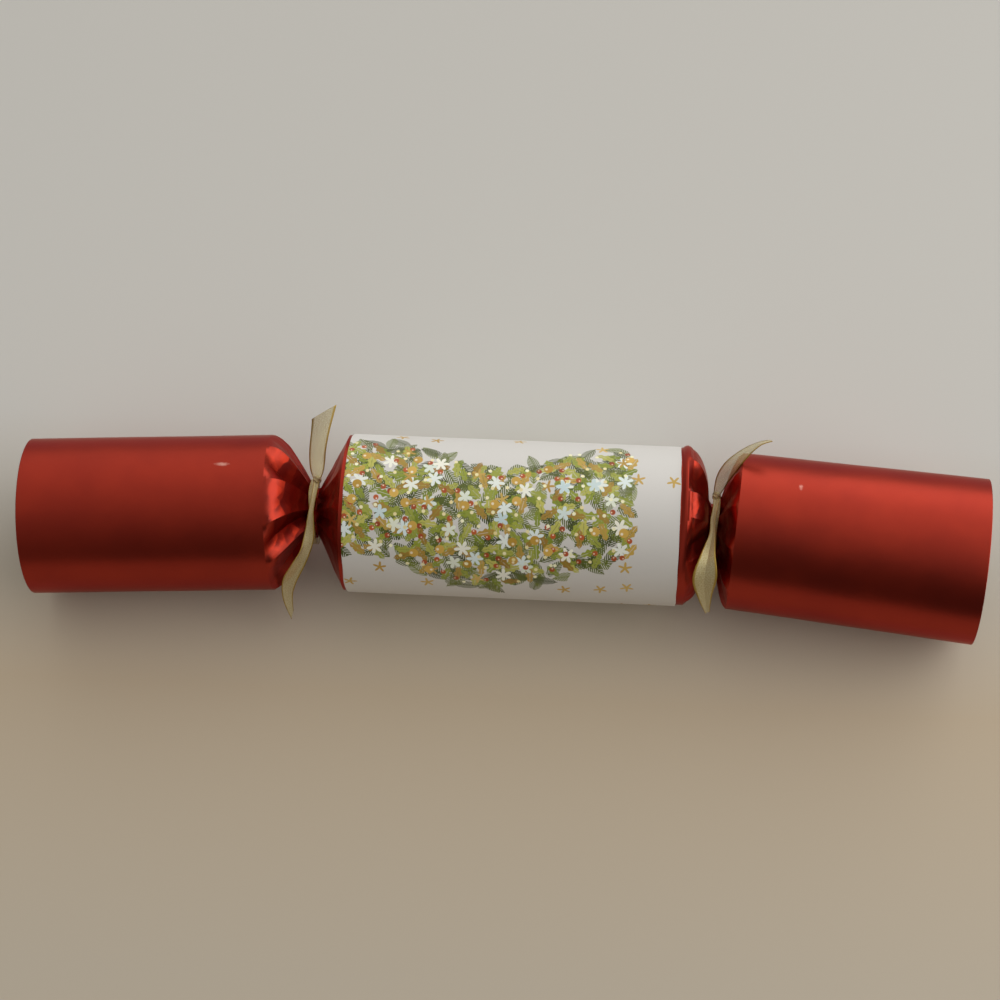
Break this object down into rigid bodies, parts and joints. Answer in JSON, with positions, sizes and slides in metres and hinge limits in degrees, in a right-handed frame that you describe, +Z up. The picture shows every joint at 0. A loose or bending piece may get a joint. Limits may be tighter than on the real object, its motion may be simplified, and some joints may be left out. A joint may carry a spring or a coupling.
{
  "type": "christmas cracker",
  "caption": "Christmas cracker lying flat: card barrel in a printed sleeve, red foil wrapper gathered into pleated necks, gold ribbon ties, a pull snap, a rolled paper hat and a gift inside.",
  "frame": {"origin": "on the table, under the middle of the barrel", "axes": "+X along the barrel towards the end on the right of the picture, +Y away from the viewer, +Z up"},
  "size_m": [0.2919, 0.0618, 0.0484],
  "materials": {
    "red_foil_paper": "red metallised paper, satin gloss",
    "printed_paper": "white coated paper with a printed garland",
    "gold_ribbon": "woven gold metallic ribbon",
    "grey_card": "unbleached grey card",
    "snap_card": "plain buff card",
    "snap_compound": "dry friction compound",
    "snap_paper": "thin plain paper",
    "tissue_paper": "green tissue paper",
    "motto_paper": "plain white paper",
    "toy_body": "moulded gloss plastic",
    "toy_stem": "moulded gloss plastic"
  },
  "bodies": {
    "barrel": {"barrel_tube": "grey_card", "barrel_wrapper": "red_foil_paper", "barrel_sleeve": "printed_paper"},
    "left_snap": {"left_snap_strip": "snap_card", "left_snap_charge": "snap_compound"},
    "left_end": {"left_end_tube": "grey_card", "left_end_wrapper": "red_foil_paper", "left_ribbon": "gold_ribbon"},
    "right_snap": {"right_snap_strip": "snap_card", "right_snap_charge": "snap_compound", "snap_cover": "snap_paper"},
    "right_end": {"right_end_tube": "grey_card", "right_end_wrapper": "red_foil_paper", "right_ribbon": "gold_ribbon"},
    "hat": {"paper_crown": "tissue_paper", "motto_slip": "motto_paper", "hat_band": "motto_paper"},
    "gift": {"top_body": "toy_body", "top_stem": "toy_stem"}
  },
  "joints": [
    {"name": "left_pull", "type": "slide", "parent": "barrel", "child": "left_snap", "axis": [-1, 0, 0], "range_m": [0, 0.085]},
    {"name": "left_neck_bend", "type": "hinge", "parent": "left_snap", "child": "left_end", "pos_m": [-0.0623, 0, 0.0239], "axis": [0, 0, 1], "range_deg": [-6.4, 4.6]},
    {"name": "right_pull", "type": "slide", "parent": "barrel", "child": "right_snap", "axis": [1, 0, 0], "range_m": [0, 0.085]},
    {"name": "right_neck_bend", "type": "hinge", "parent": "right_snap", "child": "right_end", "pos_m": [0.0595, 0, 0.0239], "axis": [0, 0, -1], "range_deg": [-7.6, 2]},
    {"name": "hat_slide", "type": "slide", "parent": "barrel", "child": "hat", "axis": [1, 0, 0], "range_m": [-0.006, 0.004]},
    {"name": "gift_slide", "type": "slide", "parent": "barrel", "child": "gift", "axis": [1, 0, 0], "range_m": [-0.004, 0.01]}
  ]
}
